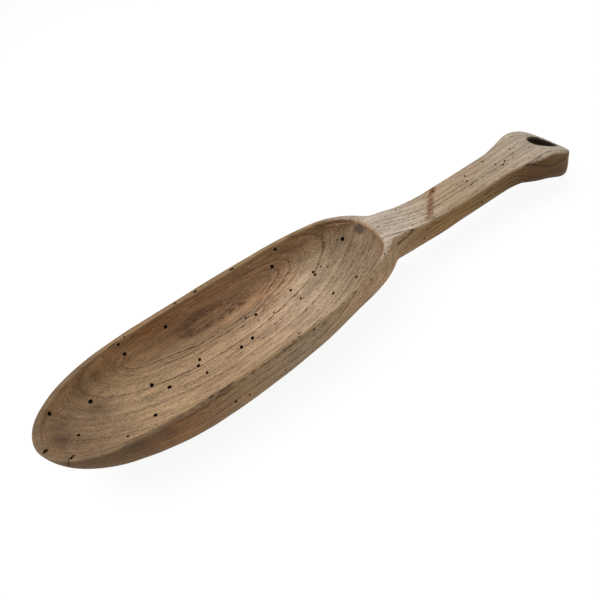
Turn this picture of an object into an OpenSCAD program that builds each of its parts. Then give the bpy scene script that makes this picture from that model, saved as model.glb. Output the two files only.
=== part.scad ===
// Carved wooden feed scoop: a long boat-shaped bowl, and a waisted handle with a hanging hole in its end.
// It lies on z = 0 as on a table, with the origin under the middle of its length, the bowl's tip towards -X
// and the handle's end towards +X. Sizes are in millimetres.

/* [Bowl] */
// Length of the bowl, from its tip to where its own outline closes inside the neck
bowl_length = 231; // [170:1:300]
// Width of the bowl over its rim, at the widest place
bowl_width = 84; // [60:1:120]
// Height of the rim above the table, at the middle of the bowl
rim_height = 44; // [30:0.5:60]
// How much higher the rim is at the tip and the shoulder than at the middle
rim_sheer = 4.5; // [0:0.1:8]
// Distance from the tip to the widest place
widest_at = 95; // [60:1:120]
// Distance from the tip to the lowest place of the underside
keel_at = 83; // [60:1:120]

/* [Hollow] */
// Width of the rim along the sides
rim_side = 3.5; // [2.5:0.5:8]
// Width of the rim at the tip
rim_tip = 5; // [3:0.5:12]
// Solid wood between the hollow and the bowl's closing point at the neck
neck_wood = 6.5; // [3:0.5:20]
// Thickness of the floor at the deepest place
floor_thickness = 8; // [5:0.5:14]
// Distance from the tip to the deepest place of the hollow
deepest_at = 104; // [70:1:130]

/* [Handle] */
// Length of the handle beyond the bowl's closing point
handle_length = 139; // [110:1:220]
// Width of the grip at its waist
waist_width = 26.5; // [20:0.5:40]
// Width of the fishtail end
end_width = 39; // [32:0.5:60]
// Depth of the wood where the bowl closes inside the neck
neck_depth = 22; // [17:0.5:28]
// Thickness of the grip
grip_thickness = 16; // [10:0.5:18]
// Thickness of the fishtail end
end_thickness = 19; // [12:0.5:26]
// How far the grip's top lies below the shoulder
neck_drop = 13.5; // [4:0.5:16]
// Distance from the bowl's closing point back to where the top starts to come down
drop_before = 34; // [10:1:50]
// Length over which the top comes down from the shoulder to the grip
drop_run = 75; // [40:1:90]
// Length of the drooping part of the handle's end
droop_length = 28; // [24:1:60]
// Distance from the handle's end to where the fishtail starts to flare
flare_start = 54; // [46:1:80]
// Length of the flare
flare_length = 32; // [20:1:44]

/* [Hanging hole] */
// Diameter of the hanging hole
hole_diameter = 19.5; // [8:0.5:24]
// Distance from the handle's end to the hole's centre
hole_from_end = 13.5; // [13:0.5:30]

/* [Edges] */
// How far the rim's and the handle's top edges are eased
edge_ease = 1.5; // [0.5:0.25:3]
// Size of the hollow corner where the bowl runs into the handle
neck_fillet = 5.2; // [2:0.2:12]
// How far the rounded end reaches back from the handle's end
end_rounding = 14.5; // [6:0.5:18]

/* [Hidden] */

total_length = bowl_length + handle_length;
hollow_end = bowl_length - neck_wood;
hole_x = total_length - hole_from_end;
end_start = total_length - end_rounding;
flare_from = total_length - flare_start;
droop_from = total_length - droop_length;
// The two nodes meet on this plane, in solid wood this far beyond the bowl's closing point
split_beyond = 4;
split_x = bowl_length + split_beyond;
// The wood worn off flat where the bowl stands on the table
worn_flat = 1;
bowl_depth = rim_height + worn_flat;
grip_top = rim_height + rim_sheer - neck_drop;
// The end droops until its underside stands on the table
end_droop = grip_top - end_thickness;
droop_power = 1.6;

// Superellipse powers [along, across]: 2 is an ellipse, higher is fuller
outline_front = [2.5, 2.15];
outline_back = [3, 2.3];
hollow_back = [3.6, 2.6];
end_outline = [1.6, 2.15];
keel_front = [1.8, 2.3];
scoop_front = [2, 1.5];
scoop_back = [2.4, 1.6];
// The end is cut off square where its rounding has run this share of its way
end_cut = 0.985;
// Squareness of the cross sections, which changes from the bowl's to the grip's over the neck
bowl_power = 2.3;
hollow_power = 2.2;
grip_power = 5;
power_before = 50;
power_from = bowl_length - power_before;
power_run = 70;
// The grip's width counts from the widest place and is all there at this share of the way to the neck
grip_share_run = 0.8;
// The corner's rounding dies out this far beyond the bowl's closing point
fillet_run = 30;
// Rounding of the underside where the bowl's depth hands over to the grip's
belly_blend = 6;

stations = 44;
grip_stations = 26;
end_stations = 12;
outer_steps = 24;
hollow_steps = 20;
// Room that the cutters have past the wood
clear = 1;
under_table = 30;

function smooth(t) = let (c = max(0, min(1, t))) c * c * (3 - 2 * c);
function soft_max(a, b, k) = (a + b + sqrt((a - b) * (a - b) + k * k)) / 2;
// Falls from 1 at t = 0 to 0 at t = 1 as a superellipse does
function fall(t, powers) = pow(max(0, 1 - pow(max(0, t), powers[0])), 1 / powers[1]);
function signed_power(v, p) = sign(v) * pow(abs(v), p);

// Half widths in plan
function bowl_half(x, half, front, back, back_powers) = half * (x < widest_at
    ? fall((widest_at - x) / (widest_at - front), outline_front)
    : fall((x - widest_at) / (back - widest_at), back_powers));
function grip_half(x) = (waist_width + (end_width - waist_width)
    * smooth((x - flare_from) / flare_length)) / 2;
function end_fall(x) = fall(end_cut * (x - end_start) / end_rounding, end_outline);
function grip_share(x) = smooth((x - widest_at) / (grip_share_run * (bowl_length - widest_at)));
function fillet(x) = neck_fillet * (1 - smooth((x - bowl_length) / fillet_run));
function plan_half(x) = let (own = bowl_half(x, bowl_width / 2, 0, bowl_length, outline_back),
    s = grip_share(x) * end_fall(x)) x < widest_at ? own : soft_max(own, s * grip_half(x), s * fillet(x));
function hollow_half(x) = bowl_half(x, bowl_width / 2 - rim_side, rim_tip, hollow_end, hollow_back);

// Heights: the top line, the wood under it and the hollow's depth
function top_z(x) = rim_height + rim_sheer * pow(2 * min(1, x / bowl_length) - 1, 2)
    - neck_drop * smooth((x - bowl_length + drop_before) / drop_run)
    - end_droop * pow(max(0, x - droop_from) / droop_length, droop_power);
function grip_deep(x) = grip_thickness + (end_thickness - grip_thickness)
    * smooth((x - flare_from) / flare_start);
function bowl_deep(x) = x < keel_at
    ? bowl_depth * fall((keel_at - x) / keel_at, keel_front)
    : bowl_depth - (bowl_depth - neck_depth) * pow((x - keel_at) / (bowl_length - keel_at), 2);
function deep(x) = x < keel_at ? bowl_deep(x) : soft_max(bowl_deep(x), grip_deep(x), belly_blend);
function hollow_deep(x) = (rim_height - floor_thickness) * (x < deepest_at
    ? fall((deepest_at - x) / (deepest_at - rim_tip), scoop_front)
    : fall((x - deepest_at) / (hollow_end - deepest_at), scoop_back));
function power_at(x) = bowl_power + (grip_power - bowl_power) * smooth((x - power_from) / power_run);

// One section of the outside, from the near top edge under the wood to the far top edge
function outer_ring(x) = let (w = plan_half(x), t = top_z(x), d = deep(x), p = 2 / power_at(x),
    e = min(edge_ease, w / 3, d / 3))
    [[x, e - w, t],
     for (k = [0 : outer_steps]) let (a = 180 * k / outer_steps)
        [x, -w * signed_power(cos(a), p), t - e - (d - e) * pow(sin(a), p)],
     [x, w - e, t]];
// One section of the hollow, from the far rim over the floor to the near rim
function hollow_ring(x) = [for (k = [0 : hollow_steps]) let (a = 180 * k / hollow_steps, p = 2 / hollow_power)
    [x, hollow_half(x) * signed_power(cos(a), p), top_z(x) - hollow_deep(x) * pow(sin(a), p)]];

// Stations stand close together at both ends of a run
function eased(i, n) = (1 - cos(180 * i / n)) / 2;
function flat(lists) = [for (l = lists) for (v = l) v];
// Triangles between two runs of points that start at indices a and b, clockwise as seen from outside
function strip(a, b, n) = flat([for (k = [0 : n - 2])
    [[a + k, b + k, a + k + 1], [a + k + 1, b + k, b + k + 1]]]);
function fan(tip, a, n) = [for (k = [0 : n - 2]) [tip, a + k + 1, a + k]];
function flipped(faces) = [for (f = faces) [f[2], f[1], f[0]]];

module bowl_body() {
    outer_n = outer_steps + 3;
    hollow_n = hollow_steps + 1;
    last = stations - 1;
    span = hollow_end - rim_tip;
    points = concat(
        [[0, 0, top_z(0)]],
        flat([for (i = [1 : stations]) outer_ring(split_x * eased(i, stations))]),
        [[rim_tip, 0, top_z(rim_tip)]],
        flat([for (i = [1 : last]) hollow_ring(rim_tip + span * eased(i, stations))]),
        [[hollow_end, 0, top_z(hollow_end)]]);
    // First index of outer ring i and of hollow ring i, and the hollow's two closing points
    function o(i) = 1 + (i - 1) * outer_n;
    front = 1 + stations * outer_n;
    function h(i) = front + 1 + (i - 1) * hollow_n;
    back = front + 1 + last * hollow_n;
    far = outer_n - 1;
    near = hollow_n - 1;
    faces = concat(
        flipped(fan(0, o(1), outer_n)),
        flat([for (i = [1 : last]) strip(o(i), o(i + 1), outer_n)]),
        flipped(fan(front, h(1), hollow_n)),
        flat([for (i = [1 : last - 1]) strip(h(i), h(i + 1), hollow_n)]),
        fan(back, h(last), hollow_n),
        // The rim at the tip, along both sides and behind the hollow
        [[0, front, o(1)], [o(1), front, h(1) + near], [front, 0, o(1) + far], [front, o(1) + far, h(1)]],
        flat([for (i = [1 : last - 1]) [
            [o(i), h(i) + near, o(i + 1)], [o(i + 1), h(i) + near, h(i + 1) + near],
            [o(i + 1) + far, h(i), o(i) + far], [h(i + 1), h(i), o(i + 1) + far]]]),
        [[o(last), h(last) + near, o(stations)], [o(stations), h(last) + near, back],
         [o(stations) + far, h(last), o(last) + far], [back, h(last), o(stations) + far],
         [o(stations), back, o(stations) + far]],
        fan(o(stations), o(stations) + 1, outer_n - 1));
    polyhedron(points, faces);
}

module handle_body() {
    n = outer_steps + 3;
    xs = concat(
        [for (i = [0 : grip_stations - 1]) split_x + (end_start - split_x) * i / grip_stations],
        [for (i = [0 : end_stations]) end_start + end_rounding * sin(90 * i / end_stations)]);
    count = len(xs);
    function r(i) = i * n;
    points = flat([for (x = xs) outer_ring(x)]);
    faces = concat(
        flat([for (i = [0 : count - 2]) concat(strip(r(i), r(i + 1), n),
            [[r(i) + n - 1, r(i + 1), r(i)], [r(i + 1), r(i) + n - 1, r(i + 1) + n - 1]])]),
        flipped(fan(r(0), r(0) + 1, n - 1)),
        fan(r(count - 1), r(count - 1) + 1, n - 1));
    polyhedron(points, faces);
}

// Takes away what would reach below the table, which leaves the flat that the scoop stands on
module table_cut() {
    translate([-clear, -bowl_width, -under_table])
        cube([total_length + 2 * clear, 2 * bowl_width, under_table]);
}

module bowl() {
    color("#92775a") translate([-total_length / 2, 0, 0]) difference() {
        bowl_body();
        table_cut();
    }
}

module handle() {
    color("#a49377") translate([-total_length / 2, 0, 0]) difference() {
        handle_body();
        table_cut();
        translate([hole_x, 0, -clear]) cylinder(d = hole_diameter, h = grip_top + 2 * clear, $fn = 64);
    }
}

bowl();
handle();
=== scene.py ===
# A hand-carved wooden feed scoop: one piece of weathered, open-grained hardwood, gouged and shaved to shape.
import math
import random
from types import SimpleNamespace
import bpy
import bmesh
import numpy as np
from mathutils import Matrix, Vector, noise
from mathutils.bvhtree import BVHTree


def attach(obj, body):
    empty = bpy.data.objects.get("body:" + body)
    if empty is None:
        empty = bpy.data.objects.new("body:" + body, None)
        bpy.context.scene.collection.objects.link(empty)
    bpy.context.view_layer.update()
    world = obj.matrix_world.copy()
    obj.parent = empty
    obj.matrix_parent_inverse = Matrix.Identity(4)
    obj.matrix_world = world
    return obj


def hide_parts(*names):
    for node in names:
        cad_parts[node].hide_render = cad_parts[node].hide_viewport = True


noise.seed_set(11)  # the same unevenness each time
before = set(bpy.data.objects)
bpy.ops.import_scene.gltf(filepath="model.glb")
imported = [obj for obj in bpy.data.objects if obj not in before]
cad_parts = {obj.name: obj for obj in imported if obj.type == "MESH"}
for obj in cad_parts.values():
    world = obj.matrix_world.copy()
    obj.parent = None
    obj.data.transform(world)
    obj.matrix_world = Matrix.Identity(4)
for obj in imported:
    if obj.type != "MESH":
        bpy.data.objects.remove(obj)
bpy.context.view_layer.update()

mm = 0.001
imageWide = imageHigh = 600
camera = {  # a phone held close over the scoop's tip end, in metres and degrees
    "place": (-0.0581, -0.2154, 0.2497),
    "aim": (-0.0178, 0.0064, 0.0200),
    "roll": -25.32,
    "lens": 30.74,
    "sensor": 36.0,
    "shift": (0.0, 0.0),
}
imagePoints = {  # where the photo shows these, in its own pixels from its top left corner
    "leftEdge": (30.0, None), "rightEdge": (569.0, None), "topEdge": (None, 131.5), "bottomEdge": (None, 468.5),
    "tunnelTip": (90.5, 401.5), "tunnelLow": (78.5, 435.0), "tunnelNearRim": (128.0, 436.0),
    "tunnelFloor": (152.0, 385.0), "tunnelFloorNear": (155.5, 415.0), "tunnelFarWall": (165.5, 327.0),
    "tunnelMiddle": (252.5, 338.0), "tunnelPair": (313.0, 272.0), "tunnelEndWall": (356.5, 277.0),
    "tunnelNeck": (342.5, 239.0), "tunnelGrip": (467.0, 181.0), "hangingHole": (539.9, 141.0),
    "tipNick": (46.0, 450.0), "stain": (430.5, 204.0), "patch": (360.0, 234.0),
}


def makeCamera():
    data = bpy.data.cameras.new("camera")
    data.lens = camera["lens"]
    data.sensor_width = camera["sensor"]
    data.sensor_fit = "AUTO"
    data.shift_x, data.shift_y = camera["shift"]
    data.clip_start = 0.01
    holder = bpy.data.objects.new("camera", data)
    bpy.context.scene.collection.objects.link(holder)
    look = Vector(camera["aim"]) - Vector(camera["place"])
    turn = look.to_track_quat("-Z", "Y").to_matrix() @ Matrix.Rotation(math.radians(camera["roll"]), 3, "Z")
    holder.matrix_world = Matrix.Translation(camera["place"]) @ turn.to_4x4()
    bpy.context.scene.camera = holder
    return holder


eye = makeCamera()
longSide = max(imageWide, imageHigh)
rayReach = (150, 500)  # millimetres from the camera between which the whole scoop lies


def seen(name, tree):  # the place on the tree's surface that the named image point shows, and the normal there
    x, y = imagePoints[name]
    way = Vector((x - imageWide / 2 + camera["shift"][0] * longSide,
                  imageHigh / 2 - y + camera["shift"][1] * longSide,
                  -longSide * camera["lens"] / camera["sensor"]))
    start = eye.matrix_world.translation
    way = (eye.matrix_world.to_3x3() @ way).normalized()
    place, normal, _, _ = tree.ray_cast(start, way)
    if place is None:  # the ray misses, so the place nearest to it is taken
        gap = None
        for step in range(*rayReach):
            near, facing, _, away = tree.find_nearest(start + way * step * mm)
            if gap is None or away < gap:
                gap, place, normal = away, near, facing
    return place, normal


def shown(place):  # where a place shows in the image, in pixels
    local = eye.matrix_world.inverted() @ Vector(place)
    scale = longSide * camera["lens"] / camera["sensor"] / -local.z
    return (imageWide / 2 - camera["shift"][0] * longSide + local.x * scale,
            imageHigh / 2 + camera["shift"][1] * longSide - local.y * scale)


print("camera made")

carving = {  # millimetres, as in the CAD: x runs from the bowl's tip, z up from the table
    "bowlLength": 231, "bowlWidth": 84, "rimHeight": 44, "rimSheer": 4.5, "widestAt": 95, "keelAt": 83,
    "rimSide": 3.5, "rimTip": 5, "neckWood": 6.5, "floorThickness": 8, "deepestAt": 104,
    "handleLength": 139, "waistWidth": 26.5, "endWidth": 39, "neckDepth": 22,
    "gripThickness": 16, "endThickness": 19, "neckDrop": 13.5, "dropBefore": 34, "dropRun": 75,
    "droopLength": 28, "droopPower": 1.6, "flareStart": 54, "flareLength": 32, "holeWidth": 19.5,
    "holeFromEnd": 13.5, "neckFillet": 5.2, "filletRun": 30, "endRounding": 14.5, "wornFlat": 1,
    "shoulderRun": 0.8,  # the share of the bowl behind its widest place over which the handle's width fades in
    "endKept": 0.985,  # the end's rounding stops here, just short of its own tip
    "keelBlend": 6, "squareBefore": 50, "squareRun": 70,  # the section goes from round to square near the neck
    # the rest is handwork that the solids don't have
    "hollowAside": -0.7,  # the hollow sits a little towards the near rim, which is the thinner one
    "asideStarts": (20, 60), "asideStops": (190, 34),  # from this x, over this run
    "endBelly": 4.6, "bellyLength": 43,  # the drooping end swells below
    "endHeel": 4.4, "heelLength": 9,  # and its lowest edge is well rounded
    "holeBack": 1.0, "holeAside": -0.8, "holeWorn": -0.5,  # the hole is drilled a little off and a shade narrower
}
curves = {  # how full each curve is, as the powers of a superellipse along it and across it
    "tip": (2.5, 2.15), "shoulder": (3, 2.3), "hollowBack": (3.6, 2.6), "end": (1.6, 2.15), "keel": (1.8, 2.3),
    "bedFront": (2, 1.5), "bedBack": (2.4, 1.6), "bowlSection": 2.3, "gripSection": 5.0, "hollowSection": 2.2,
}
edges = {  # how far the knife and wear have eased each edge, in millimetres
    "outer": 0.9, "inner": 1.0, "innerTip": 2.2, "innerNeck": 1.7, "hole": 0.6,
    "tipFades": (6, 34), "neckStarts": (192, 26),  # from this x, over this run
}
handwork = {  # unevenness that the tools left, in millimetres: its size and how far apart it repeats
    "slow": (0.55, 42), "quick": (0.14, 11), "gouge": (0.28, 9.5), "knife": (0.22, 13),
    "gougeStretch": (3.2, 0.8), "knifeStretch": (3.5, 1.0),  # how much longer along x, and how much quicker along z
    "troughBelow": 0.25,  # a ridge stands where the noise is above this, a trough where it is below
    "stillRound": (7.2, 6),  # mm from the hanging hole's middle where the wobble begins, and the run to its full size
    "knifeShift": 40,  # so that outside and hollow don't show the same strokes
}
skinMesh = {  # how many rows and columns the skin has
    "bowlRows": 250, "gripRows": 126, "endRows": 26, "outside": 84, "band": 9, "hollow": 80,
    "evenOver": 16, "evenShare": 0.35,  # behind the neck the top's points spread out evenly over so many rows
    "closing": (0.94, 0.8, 0.55, 0.3),  # the shrinking rings that close the handle's end
}
c, s, curve = SimpleNamespace(**carving), SimpleNamespace(**skinMesh), SimpleNamespace(**curves)
length = c.bowlLength + c.handleLength
hollowEnd = c.bowlLength - c.neckWood
bowlDepth = c.rimHeight + c.wornFlat
gripTop = c.rimHeight + c.rimSheer - c.neckDrop
holeX, holeY = length - c.holeFromEnd - c.holeBack, c.holeAside
splitX = c.bowlLength + 4


def smooth(t):
    t = np.clip(t, 0, 1)
    return t * t * (3 - 2 * t)


def ramp(x, start, run):  # 0 before start, 1 after the run
    return smooth((x - start) / run)


def softMax(a, b, k):
    return (a + b + np.sqrt((a - b) ** 2 + k * k)) / 2


def fall(t, along, across):
    return np.maximum(0, 1 - np.maximum(t, 0) ** along) ** (1 / across)


def bowlHalf(x, half, front, back, backPowers):
    return half * np.where(x < c.widestAt, fall((c.widestAt - x) / (c.widestAt - front), *curve.tip),
                           fall((x - c.widestAt) / (back - c.widestAt), *backPowers))


def planHalf(x):
    own = bowlHalf(x, c.bowlWidth / 2, 0, c.bowlLength, curve.shoulder)
    end = fall(c.endKept * (x - length + c.endRounding) / c.endRounding, *curve.end)
    share = ramp(x, c.widestAt, c.shoulderRun * (c.bowlLength - c.widestAt)) * end
    grip = (c.waistWidth + (c.endWidth - c.waistWidth) * ramp(x, length - c.flareStart, c.flareLength)) / 2
    corner = c.neckFillet * (1 - ramp(x, c.bowlLength, c.filletRun))
    return np.where(x < c.widestAt, own, softMax(own, share * grip, share * corner))


def hollowHalf(x):
    return bowlHalf(x, c.bowlWidth / 2 - c.rimSide, c.rimTip, hollowEnd, curve.hollowBack)


def aside(x):
    return c.hollowAside * ramp(x, *c.asideStarts) * (1 - ramp(x, *c.asideStops))


def topZ(x):
    droop = gripTop - c.endThickness
    return (c.rimHeight + c.rimSheer * (2 * np.minimum(1, x / c.bowlLength) - 1) ** 2
            - c.neckDrop * ramp(x, c.bowlLength - c.dropBefore, c.dropRun)
            - droop * (np.maximum(0, x - length + c.droopLength) / c.droopLength) ** c.droopPower)


def depth(x):
    back = (x - c.keelAt) / (c.bowlLength - c.keelAt)
    own = np.where(x < c.keelAt, bowlDepth * fall((c.keelAt - x) / c.keelAt, *curve.keel),
                   bowlDepth - (bowlDepth - c.neckDepth) * back ** 2)
    belly = np.sin(np.pi * np.clip(1 - (length - x) / c.bellyLength, 0, 1))
    grip = (c.gripThickness + (c.endThickness - c.gripThickness) * ramp(x, length - c.flareStart, c.flareStart)
            + c.endBelly * belly - c.endHeel * ramp(x, length - c.heelLength, c.heelLength))
    return np.where(x < c.keelAt, own, softMax(own, grip, c.keelBlend))


def hollowDepth(x):
    return (c.rimHeight - c.floorThickness) * np.where(
        x < c.deepestAt, fall((c.deepestAt - x) / (c.deepestAt - c.rimTip), *curve.bedFront),
        fall((x - c.deepestAt) / (hollowEnd - c.deepestAt), *curve.bedBack))


def squareness(x):  # the power of the outside's cross-section
    return curve.bowlSection + (curve.gripSection - curve.bowlSection) * ramp(x, c.bowlLength - c.squareBefore,
                                                                              c.squareRun)


def rows(count, power=0.6):  # shares from 0 to 1 that stand closer together near both ends
    t = (np.arange(4001) + 0.5) / 4001
    run = np.concatenate([[0], np.cumsum(np.sin(np.pi * t) ** power)])
    return np.interp(np.linspace(0, 1, count + 1), np.linspace(0, 1, 4002), run / run[-1])


def evenArc(half, deep, square, count):  # a superellipse's lower half with evenly spaced points, near to far
    a = np.linspace(0, np.pi, 721)
    y = -half * np.sign(np.cos(a)) * np.abs(np.cos(a)) ** (2 / square)
    z = -deep * np.sin(a) ** (2 / square)
    run = np.concatenate([[0], np.cumsum(np.hypot(np.diff(y), np.diff(z)))])
    at = np.linspace(0, run[-1], count)
    return np.interp(at, run, y), np.interp(at, run, z)


def outlineDistance(points, line):  # how far each point lies from a line through many places, seen from above
    a, b = line[:-1], line[1:]
    ab = b - a
    best = np.full(len(points), 1e9)
    for start in range(0, len(points), 2000):
        p = points[start:start + 2000, None, :]
        t = np.clip(((p - a) * ab).sum(2) / np.maximum((ab * ab).sum(1), 1e-12), 0, 1)
        best[start:start + 2000] = np.sqrt((((p - a - t[..., None] * ab)) ** 2).sum(2)).min(1)
    return best


def innerEase(x):  # the hollow's edge is worn rounder at the tip, where the feed slides out, and at the neck
    return (edges["inner"] + (edges["innerTip"] - edges["inner"]) * (1 - ramp(x, *edges["tipFades"]))
            + (edges["innerNeck"] - edges["inner"]) * ramp(x, *edges["neckStarts"]))


def eased(distance, ease):  # how far a rounded edge drops at this distance from it
    back = np.clip(ease - distance, 0, ease)
    return ease - np.sqrt(ease ** 2 - back ** 2)


outlineX = np.concatenate([np.linspace(0, 1, 60) ** 3 * 12, np.linspace(12, length - 12, 700)[1:-1],
                           length - np.linspace(1, 0, 60) ** 3 * 12])
outline = np.concatenate([np.c_[outlineX, -planHalf(outlineX)], np.c_[outlineX, planHalf(outlineX)][::-1]])
hollowX = c.rimTip + (hollowEnd - c.rimTip) * rows(900, 0.9)
hollowLine = np.concatenate([np.c_[hollowX, aside(hollowX) - hollowHalf(hollowX)],
                             np.c_[hollowX, aside(hollowX) + hollowHalf(hollowX)][::-1]])


def skinRows():  # points, the kind of each (0 outside, 1 top face, 2 hollow), and faces
    points, kinds, faces = [], [], []

    def add(new, kind):
        start = len(points)
        points.extend(new)
        kinds.extend([kind] * len(new))
        return list(range(start, start + len(new)))

    share = rows(s.bowlRows)
    innerX = c.rimTip + (hollowEnd - c.rimTip) * share
    beta = (1 - np.cos(np.pi * np.arange(1, s.band) / s.band)) / 2  # from the outer edge inwards
    e = edges["outer"]

    def outside(x):
        y, z = evenArc(float(planHalf(x)), max(float(depth(x)), e + 0.05) - e, float(squareness(x)), s.outside)
        return [(x, a, float(topZ(x)) - e + b) for a, b in zip(y, z)]

    def band(edge, inner):
        return [(edge[0] + (inner[0] - edge[0]) * t, edge[1] + (inner[1] - edge[1]) * t, 0) for t in beta]

    def hollow(x):
        h = float(innerEase(x))
        y, z = evenArc(float(hollowHalf(x)), max(float(hollowDepth(x)), h + 0.05) - h, curve.hollowSection, s.hollow)
        return [(x, a + float(aside(x)), float(topZ(x)) - h + b) for a, b in zip(y, z)][::-1]

    # each row is a closed loop: outside from near to far, far band, hollow from far to near, near band
    tip = add([(0.0, 0.0, float(topZ(0)) - e)], 0)
    tipBand = add(band((0, 0), (innerX[0], 0)), 1)
    tipHollow = add([(innerX[0], 0.0, float(topZ(innerX[0]) - innerEase(innerX[0])))], 2)
    loops = [tip * s.outside + tipBand + tipHollow * s.hollow + tipBand[::-1]]
    for i in range(1, s.bowlRows + 1):
        xo, xi = float(splitX * share[i]), float(innerX[i])
        w, wi, off = float(planHalf(xo)), float(hollowHalf(xi)), float(aside(xi))
        out = add(outside(xo), 0)
        if i == s.bowlRows:
            wi = 0
        far = add(band((xo, w), (xi, off + wi)), 1)
        inner = add(hollow(xi), 2) if wi else add([(xi, 0.0, float(topZ(xi) - innerEase(xi)))], 2) * s.hollow
        near = add(band((xo, -w), (xi, off - wi)), 1)
        loops.append(out + far + inner + near[::-1])
    inner0 = s.outside + s.band - 1
    grip = [loops[-1][:inner0 + 1] + loops[-1][inner0 + s.hollow:]]
    gripX = splitX + (length - c.endRounding - splitX) * np.arange(1, s.gripRows + 1) / s.gripRows
    endX = length - c.endRounding + c.endRounding * np.sin(np.pi / 2 * np.arange(1, s.endRows + 1) / s.endRows)
    for i, xo in enumerate(np.concatenate([gripX, endX])):
        xo, even = float(xo), float(smooth((i + 1) / s.evenOver))
        w, lag = float(planHalf(xo)), (splitX - hollowEnd) * (1 - even)
        out = add(outside(xo), 0)
        t = beta * (1 - s.evenShare * even) + s.evenShare * even * np.arange(1, s.band) / s.band
        far = add([(xo - lag * b, w * (1 - b), 0) for b in t], 1)
        mid = add([(xo - lag, 0.0, 0)], 1)
        near = add([(xo - lag * b, -w * (1 - b), 0) for b in t], 1)
        grip.append(out + far + mid + near[::-1])
    for run in (loops, grip):
        for a, b in zip(run[:-1], run[1:]):
            for k in range(len(a)):
                m = (k + 1) % len(a)
                quad = [a[k], b[k], b[m], a[m]]
                quad = [v for j, v in enumerate(quad) if v != quad[j - 1]]
                if len(set(quad)) > 2:
                    faces.append(quad)
    last = grip[-1]
    ring = np.array([points[v] for v in last], float)
    ring[:, 2] = np.where([kinds[v] == 1 for v in last], topZ(ring[:, 0]), ring[:, 2])
    centre = ring.mean(0)
    for shrink in s.closing:
        new = add([tuple(p) for p in centre + (ring - centre) * shrink], 0)
        faces += [[last[k], new[k], new[(k + 1) % len(last)], last[(k + 1) % len(last)]] for k in range(len(last))]
        last = new
    faces.append(last)
    return np.array(points, float), np.array(kinds), faces


def fieldAt(points, reach, seed):  # smooth random vectors that repeat about every reach millimetres
    shift = Vector((seed * 17.3, seed * 5.1, seed * 9.7))
    return np.array([noise.noise_vector(Vector(p) / reach + shift) for p in points])


points, kinds, faces = skinRows()
top = kinds == 1
points[top, 2] = (topZ(points[top, 0]) - eased(outlineDistance(points[top, :2], outline), edges["outer"])
                  - eased(outlineDistance(points[top, :2], hollowLine), innerEase(points[top, 0])))
print("skin rows laid:", len(points), "points", len(faces), "faces")


def inMetres(points):
    return (np.asarray(points, float) - np.array([length / 2, 0, 0])) * mm


def meshOf(name, points, faces):
    mesh = bpy.data.meshes.new(name)
    mesh.from_pydata([tuple(p) for p in points], [], faces)
    mesh.validate()
    piece = bpy.data.objects.new(name, mesh)
    bpy.context.scene.collection.objects.link(piece)
    return piece


scoop = meshOf("scoop", inMetres(points), faces)
bm = bmesh.new()
bm.from_mesh(scoop.data)
kindLayer = bm.verts.layers.float.new("kind")
bm.verts.ensure_lookup_table()
for vert, kind in zip(bm.verts, kinds):
    vert[kindLayer] = float(kind)
bmesh.ops.recalc_face_normals(bm, faces=bm.faces)
# finer faces round the hanging hole, so that its edge can be eased
holeCentre = Vector(((holeX - length / 2) * mm, holeY * mm, 0))
radius = c.holeWidth / 2 + c.holeWorn
holeZone, lyingFlat = 2.2, 0.3  # mm on each side of the hole's edge, and the least upright part of a normal there
ringed = [f for f in bm.faces if abs((f.calc_center_median() - holeCentre).xy.length / mm - radius) < holeZone
          and abs(f.normal.z) > lyingFlat]
bmesh.ops.subdivide_edges(bm, edges=list({e for f in ringed for e in f.edges}), cuts=2, use_grid_fill=True)
for vert in bm.verts:
    gap = (vert.co - holeCentre).xy.length / mm - radius
    if abs(gap) < holeZone and abs(vert.normal.z) > lyingFlat:
        drop = float(eased(max(gap, 0), edges["hole"]))
        vert.co.z -= math.copysign(drop, vert.normal.z) * mm
print("closed skin:", all(e.is_manifold for e in bm.edges), "volume in cm3", round(bm.calc_volume() * 1e6, 1))
bm.to_mesh(scoop.data)
bm.free()


def pointsOf(mesh):
    flat = np.empty(len(mesh.vertices) * 3)
    mesh.vertices.foreach_get("co", flat)
    return flat.reshape(-1, 3) / mm + np.array([length / 2, 0, 0])


def kindsOf(mesh):
    flat = np.empty(len(mesh.vertices), np.float32)
    mesh.attributes["kind"].data.foreach_get("value", flat)
    return flat


def unevenHand():  # the wobble of handwork, shallow gouge troughs in the hollow and knife flats outside
    mesh = scoop.data
    place, kind = pointsOf(mesh), kindsOf(mesh)
    normal = np.array([v.normal for v in mesh.vertices])
    still = ramp(np.hypot(place[:, 0] - holeX, place[:, 1] - holeY), *handwork["stillRound"])[:, None]
    for name, seed in (("slow", 1), ("quick", 2)):
        size, reach = handwork[name]
        place += still * size * fieldAt(place, reach, seed)
    for name, share, shift in (("gouge", np.clip(kind - 1, 0, 1), 0),
                               ("knife", np.clip(1 - kind, 0, 1), handwork["knifeShift"])):
        size, reach = handwork[name]
        long, quick = handwork[name + "Stretch"]
        stroke = np.array([noise.noise(Vector((p[0] / reach / long + shift, p[1] / reach, p[2] / reach * quick)))
                           for p in place])
        place += (share * size * (np.abs(stroke) - handwork["troughBelow"]))[:, None] * normal * still
    place[:, 2] = np.maximum(place[:, 2], 0)  # nothing goes below the table
    mesh.vertices.foreach_set("co", inMetres(place).ravel())
    mesh.update()


unevenHand()
print("hand's unevenness added")


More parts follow.
